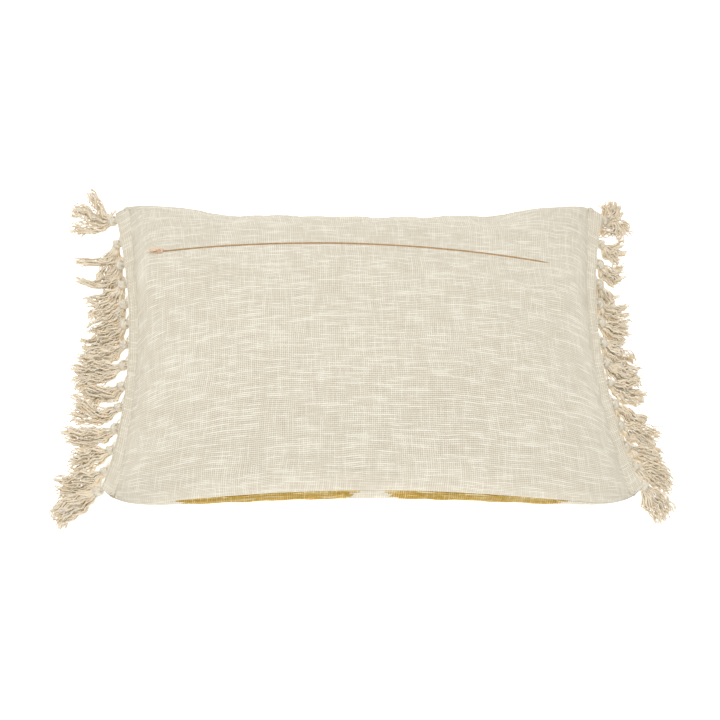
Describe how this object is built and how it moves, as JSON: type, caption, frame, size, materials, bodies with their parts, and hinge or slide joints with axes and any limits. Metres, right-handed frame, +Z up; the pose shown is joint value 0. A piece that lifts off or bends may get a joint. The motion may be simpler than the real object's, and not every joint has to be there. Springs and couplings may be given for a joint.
{
  "type": "throw pillow",
  "caption": "Lumbar throw pillow, lying face down: zipped slub-weave cover, mustard geometric front, flat side flanges with knotted yarn tassels, stuffed insert.",
  "frame": {"origin": "under the middle of the pillow, on the surface it lies on", "axes": "+X along the pillow, +Y towards the long side with the zip, +Z up, away from the patterned front that faces down"},
  "size_m": [0.6594, 0.3986, 0.1371],
  "materials": {
    "patterned_fabric": "slub weave, cream ground with thick mustard yarn motifs",
    "cream_fabric": "slub weave, undyed cotton",
    "insert_cotton": "plain woven",
    "fibre_fill": "loose fibre",
    "zip_tape": "fine twill tape",
    "zip_coil": "moulded nylon coil, satin",
    "zip_metal": "antique, satin",
    "tassel_yarn": "two-ply cotton yarn, matt"
  },
  "bodies": {
    "pillow": {"front_panel": "patterned_fabric", "back_panel_lower": "cream_fabric", "back_panel_upper": "cream_fabric", "side_flange_left": "cream_fabric", "side_flange_right": "cream_fabric", "insert_casing_front": "insert_cotton", "insert_casing_back": "insert_cotton", "polyester_filling": "fibre_fill", "zip_tape_lower": "zip_tape", "zip_tape_upper": "zip_tape", "zip_coil_lower": "zip_coil", "zip_coil_upper": "zip_coil", "zip_top_stop_lower": "zip_metal", "zip_top_stop_upper": "zip_metal", "zip_bottom_stop": "zip_metal"},
    "slider": {"zip_slider": "zip_metal"},
    "pull": {"zip_pull": "zip_metal"},
    "tassel_left_01": {"tassel_left_01": "tassel_yarn"},
    "tassel_left_02": {"tassel_left_02": "tassel_yarn"},
    "tassel_left_03": {"tassel_left_03": "tassel_yarn"},
    "tassel_left_04": {"tassel_left_04": "tassel_yarn"},
    "tassel_left_05": {"tassel_left_05": "tassel_yarn"},
    "tassel_left_06": {"tassel_left_06": "tassel_yarn"},
    "tassel_left_07": {"tassel_left_07": "tassel_yarn"},
    "tassel_left_08": {"tassel_left_08": "tassel_yarn"},
    "tassel_left_09": {"tassel_left_09": "tassel_yarn"},
    "tassel_left_10": {"tassel_left_10": "tassel_yarn"},
    "tassel_left_11": {"tassel_left_11": "tassel_yarn"},
    "tassel_left_12": {"tassel_left_12": "tassel_yarn"},
    "tassel_left_13": {"tassel_left_13": "tassel_yarn"},
    "tassel_left_14": {"tassel_left_14": "tassel_yarn"},
    "tassel_right_01": {"tassel_right_01": "tassel_yarn"},
    "tassel_right_02": {"tassel_right_02": "tassel_yarn"},
    "tassel_right_03": {"tassel_right_03": "tassel_yarn"},
    "tassel_right_04": {"tassel_right_04": "tassel_yarn"},
    "tassel_right_05": {"tassel_right_05": "tassel_yarn"},
    "tassel_right_06": {"tassel_right_06": "tassel_yarn"},
    "tassel_right_07": {"tassel_right_07": "tassel_yarn"},
    "tassel_right_08": {"tassel_right_08": "tassel_yarn"},
    "tassel_right_09": {"tassel_right_09": "tassel_yarn"},
    "tassel_right_10": {"tassel_right_10": "tassel_yarn"},
    "tassel_right_11": {"tassel_right_11": "tassel_yarn"},
    "tassel_right_12": {"tassel_right_12": "tassel_yarn"},
    "tassel_right_13": {"tassel_right_13": "tassel_yarn"},
    "tassel_right_14": {"tassel_right_14": "tassel_yarn"}
  },
  "joints": [
    {"name": "slider_run", "type": "hinge", "parent": "pillow", "child": "slider", "pos_m": [-0.0108, 0.1008, -0.85817], "axis": [0.0366, 0.9993, 0], "range_deg": [0, 26.4]},
    {"name": "pull_flip", "type": "hinge", "parent": "slider", "child": "pull", "pos_m": [-0.23757, 0.1099, 0.10624], "axis": [0.0869, 0.9721, -0.2178], "range_deg": [0, 170]},
    {"name": "tassel_left_01_swing", "type": "hinge", "parent": "pillow", "child": "tassel_left_01", "pos_m": [-0.2899, 0.18151, 0.07478], "axis": [0.153, 0.9882, 0], "range_deg": [0, 105]},
    {"name": "tassel_left_02_swing", "type": "hinge", "parent": "pillow", "child": "tassel_left_02", "pos_m": [-0.28436, 0.15357, 0.06708], "axis": [0.0929, 0.9957, 0], "range_deg": [0, 105]},
    {"name": "tassel_left_03_swing", "type": "hinge", "parent": "pillow", "child": "tassel_left_03", "pos_m": [-0.27974, 0.12564, 0.06372], "axis": [0.0509, 0.9987, 0], "range_deg": [0, 105]},
    {"name": "tassel_left_04_swing", "type": "hinge", "parent": "pillow", "child": "tassel_left_04", "pos_m": [-0.27605, 0.09772, 0.0625], "axis": [0.024, 0.9997, 0], "range_deg": [0, 105]},
    {"name": "tassel_left_05_swing", "type": "hinge", "parent": "pillow", "child": "tassel_left_05", "pos_m": [-0.27328, 0.06979, 0.06216], "axis": [0.0087, 1, 0], "range_deg": [0, 105]},
    {"name": "tassel_left_06_swing", "type": "hinge", "parent": "pillow", "child": "tassel_left_06", "pos_m": [-0.27144, 0.04188, 0.0621], "axis": [0.0019, 1, 0], "range_deg": [0, 105]},
    {"name": "tassel_left_07_swing", "type": "hinge", "parent": "pillow", "child": "tassel_left_07", "pos_m": [-0.27052, 0.01396, 0.0621], "axis": [0.0001, 1, 0], "range_deg": [0, 105]},
    {"name": "tassel_left_08_swing", "type": "hinge", "parent": "pillow", "child": "tassel_left_08", "pos_m": [-0.27052, -0.01396, 0.0621], "axis": [-0.0001, 1, 0], "range_deg": [0, 105]},
    {"name": "tassel_left_09_swing", "type": "hinge", "parent": "pillow", "child": "tassel_left_09", "pos_m": [-0.27144, -0.04188, 0.0621], "axis": [-0.0019, 1, 0], "range_deg": [0, 105]},
    {"name": "tassel_left_10_swing", "type": "hinge", "parent": "pillow", "child": "tassel_left_10", "pos_m": [-0.27328, -0.06979, 0.06216], "axis": [-0.0087, 1, 0], "range_deg": [0, 105]},
    {"name": "tassel_left_11_swing", "type": "hinge", "parent": "pillow", "child": "tassel_left_11", "pos_m": [-0.27605, -0.09772, 0.0625], "axis": [-0.024, 0.9997, 0], "range_deg": [0, 105]},
    {"name": "tassel_left_12_swing", "type": "hinge", "parent": "pillow", "child": "tassel_left_12", "pos_m": [-0.27974, -0.12564, 0.06372], "axis": [-0.0509, 0.9987, 0], "range_deg": [0, 105]},
    {"name": "tassel_left_13_swing", "type": "hinge", "parent": "pillow", "child": "tassel_left_13", "pos_m": [-0.28436, -0.15357, 0.06708], "axis": [-0.0929, 0.9957, 0], "range_deg": [0, 105]},
    {"name": "tassel_left_14_swing", "type": "hinge", "parent": "pillow", "child": "tassel_left_14", "pos_m": [-0.2899, -0.18151, 0.07478], "axis": [-0.153, 0.9882, 0], "range_deg": [0, 105]},
    {"name": "tassel_right_01_swing", "type": "hinge", "parent": "pillow", "child": "tassel_right_01", "pos_m": [0.2899, 0.18151, 0.07478], "axis": [0.153, -0.9882, 0], "range_deg": [0, 105]},
    {"name": "tassel_right_02_swing", "type": "hinge", "parent": "pillow", "child": "tassel_right_02", "pos_m": [0.28436, 0.15357, 0.06708], "axis": [0.0929, -0.9957, 0], "range_deg": [0, 105]},
    {"name": "tassel_right_03_swing", "type": "hinge", "parent": "pillow", "child": "tassel_right_03", "pos_m": [0.27974, 0.12564, 0.06372], "axis": [0.0509, -0.9987, 0], "range_deg": [0, 105]},
    {"name": "tassel_right_04_swing", "type": "hinge", "parent": "pillow", "child": "tassel_right_04", "pos_m": [0.27605, 0.09772, 0.0625], "axis": [0.024, -0.9997, 0], "range_deg": [0, 105]},
    {"name": "tassel_right_05_swing", "type": "hinge", "parent": "pillow", "child": "tassel_right_05", "pos_m": [0.27328, 0.06979, 0.06216], "axis": [0.0087, -1, 0], "range_deg": [0, 105]},
    {"name": "tassel_right_06_swing", "type": "hinge", "parent": "pillow", "child": "tassel_right_06", "pos_m": [0.27144, 0.04188, 0.0621], "axis": [0.0019, -1, 0], "range_deg": [0, 105]},
    {"name": "tassel_right_07_swing", "type": "hinge", "parent": "pillow", "child": "tassel_right_07", "pos_m": [0.27052, 0.01396, 0.0621], "axis": [0.0001, -1, 0], "range_deg": [0, 105]},
    {"name": "tassel_right_08_swing", "type": "hinge", "parent": "pillow", "child": "tassel_right_08", "pos_m": [0.27052, -0.01396, 0.0621], "axis": [-0.0001, -1, 0], "range_deg": [0, 105]},
    {"name": "tassel_right_09_swing", "type": "hinge", "parent": "pillow", "child": "tassel_right_09", "pos_m": [0.27144, -0.04188, 0.0621], "axis": [-0.0019, -1, 0], "range_deg": [0, 105]},
    {"name": "tassel_right_10_swing", "type": "hinge", "parent": "pillow", "child": "tassel_right_10", "pos_m": [0.27328, -0.06979, 0.06216], "axis": [-0.0087, -1, 0], "range_deg": [0, 105]},
    {"name": "tassel_right_11_swing", "type": "hinge", "parent": "pillow", "child": "tassel_right_11", "pos_m": [0.27605, -0.09772, 0.0625], "axis": [-0.024, -0.9997, 0], "range_deg": [0, 105]},
    {"name": "tassel_right_12_swing", "type": "hinge", "parent": "pillow", "child": "tassel_right_12", "pos_m": [0.27974, -0.12564, 0.06372], "axis": [-0.0509, -0.9987, 0], "range_deg": [0, 105]},
    {"name": "tassel_right_13_swing", "type": "hinge", "parent": "pillow", "child": "tassel_right_13", "pos_m": [0.28436, -0.15357, 0.06708], "axis": [-0.0929, -0.9957, 0], "range_deg": [0, 105]},
    {"name": "tassel_right_14_swing", "type": "hinge", "parent": "pillow", "child": "tassel_right_14", "pos_m": [0.2899, -0.18151, 0.07478], "axis": [-0.153, -0.9882, 0], "range_deg": [0, 105]}
  ]
}
